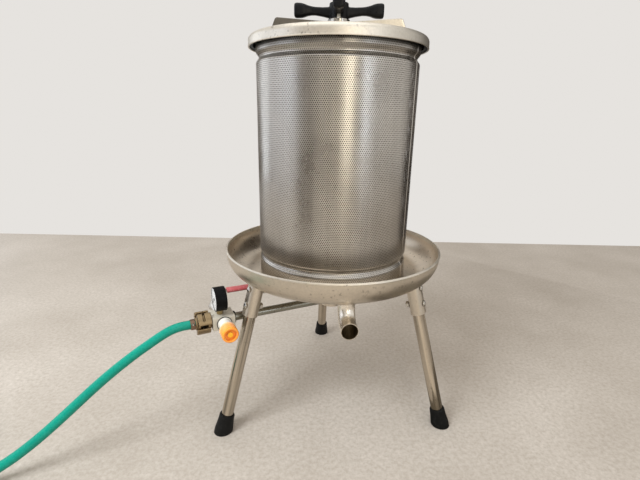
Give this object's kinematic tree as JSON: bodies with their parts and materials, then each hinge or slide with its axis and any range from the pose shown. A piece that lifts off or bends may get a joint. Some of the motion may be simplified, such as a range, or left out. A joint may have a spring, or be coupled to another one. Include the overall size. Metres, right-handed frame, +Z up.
{
  "type": "hydraulic fruit press",
  "caption": "Hydraulic fruit press: perforated steel basket in a juice tray on splayed legs, squeezed from inside by a water-filled bladder, with lid, cross handle, gauge, valves and hose.",
  "frame": {"origin": "on the press axis at floor level, under the middle of the tray", "axes": "+Z up along the press axis, the spout looks along -Y, the feed line leaves towards -X"},
  "size_m": [1.3472, 0.6549, 0.886],
  "materials": {
    "satin_steel": "satin, slightly stained",
    "basket_steel": "perforated sheet, satin",
    "leg_steel": "satin tube",
    "pipe_steel": "dull",
    "bright_steel": "bright",
    "black_rubber": "matt",
    "black_plastic": "moulded, low sheen",
    "stem_brass": "dull",
    "dial_white": "printed",
    "needle_black": "matt",
    "clear_lens": "clear",
    "cream_plastic": "moulded",
    "neck_plastic": "moulded",
    "button_yellow": "moulded",
    "cap_orange": "moulded, slightly clear",
    "lever_red": "dipped",
    "coupling_brass": "aged",
    "clip_band": "stained",
    "hose_green": "smooth"
  },
  "bodies": {
    "stand": {"juice_tray": "satin_steel", "spout_tube": "satin_steel", "socket_left": "satin_steel", "socket_right": "satin_steel", "socket_back": "satin_steel", "inlet_hub": "satin_steel", "core_cap": "satin_steel", "base_plate": "satin_steel", "leg_left": "leg_steel", "leg_right": "leg_steel", "leg_back": "leg_steel", "feed_pipe": "pipe_steel", "leg_bolts": "bright_steel", "leg_nuts": "bright_steel", "tie_rod": "bright_steel", "core_tube": "bright_steel", "clamp_lower": "bright_steel", "clamp_upper": "bright_steel", "drain_body": "bright_steel", "drain_end": "bright_steel", "clip_screw": "bright_steel", "foot_left": "black_rubber", "foot_right": "black_rubber", "foot_back": "black_rubber", "bladder": "black_rubber", "pipe_gasket": "black_rubber", "claw_seal": "black_rubber", "gauge_case": "black_plastic", "coil_tie": "black_plastic", "gauge_stem": "stem_brass", "gauge_movement": "stem_brass", "gauge_dial": "dial_white", "gauge_lens": "clear_lens", "manifold_block": "cream_plastic", "safety_neck": "neck_plastic", "claw_block": "coupling_brass", "claw_hose": "coupling_brass", "tap_connector": "coupling_brass", "hose_clip": "clip_band", "hose_cuff": "hose_green", "supply_hose": "hose_green", "hose_coil": "hose_green", "hose_tail": "hose_green"},
    "basket": {"basket_shell": "basket_steel"},
    "lid": {"lid_shell": "satin_steel", "lid_seal": "black_rubber", "crossbar": "satin_steel"},
    "washer": {"thrust_washer": "bright_steel"},
    "handle": {"cross_handle": "black_plastic", "handle_insert": "bright_steel"},
    "needle": {"gauge_needle": "needle_black"},
    "cap": {"safety_cap": "cap_orange"},
    "vent": {"safety_spindle": "button_yellow", "safety_spring": "bright_steel"},
    "drain": {"drain_ball": "bright_steel", "drain_stem": "bright_steel", "drain_lever": "bright_steel", "lever_sleeve": "lever_red", "lever_nut": "bright_steel"}
  },
  "joints": [
    {"name": "basket_lift", "type": "slide", "parent": "stand", "child": "basket", "axis": [0, 0, 1], "range_m": [0, 0.52]},
    {"name": "lid_lift", "type": "slide", "parent": "basket", "child": "lid", "axis": [0, 0, 1], "range_m": [0, 0.15]},
    {"name": "nut_rise", "type": "slide", "parent": "lid", "child": "washer", "axis": [0, 0, 1], "range_m": [0, 0.024]},
    {"name": "nut_spin", "type": "hinge", "parent": "washer", "child": "handle", "pos_m": [0, 0, 0.871], "axis": [0, 0, 1], "range_deg": [0, 2160]},
    {"name": "needle_sweep", "type": "hinge", "parent": "stand", "child": "needle", "pos_m": [-0.25127, -0.10152, 0.3], "axis": [0.9272, 0.3746, 0], "range_deg": [0, 270], "stiffness_Nm_per_rad": 0.001, "springref_deg": -11.46},
    {"name": "cap_twist", "type": "hinge", "parent": "stand", "child": "cap", "pos_m": [-0.22091, -0.15396, 0.252], "axis": [0.3746, -0.9272, 0], "range_deg": [0, 90]},
    {"name": "vent_lift", "type": "slide", "parent": "stand", "child": "vent", "axis": [0.3746, -0.9272, 0], "range_m": [0, 0.001]},
    {"name": "drain_turn", "type": "hinge", "parent": "stand", "child": "drain", "pos_m": [-0.25949, -0.05847, 0.252], "axis": [0, 0, 1], "range_deg": [0, 90]}
  ],
  "couplings": [
    {"joint": "nut_rise", "follows": "nut_spin", "m_per_rad": 0.0006366},
    {"joint": "vent_lift", "follows": "cap_twist", "m_per_rad": 0.0006366}
  ]
}
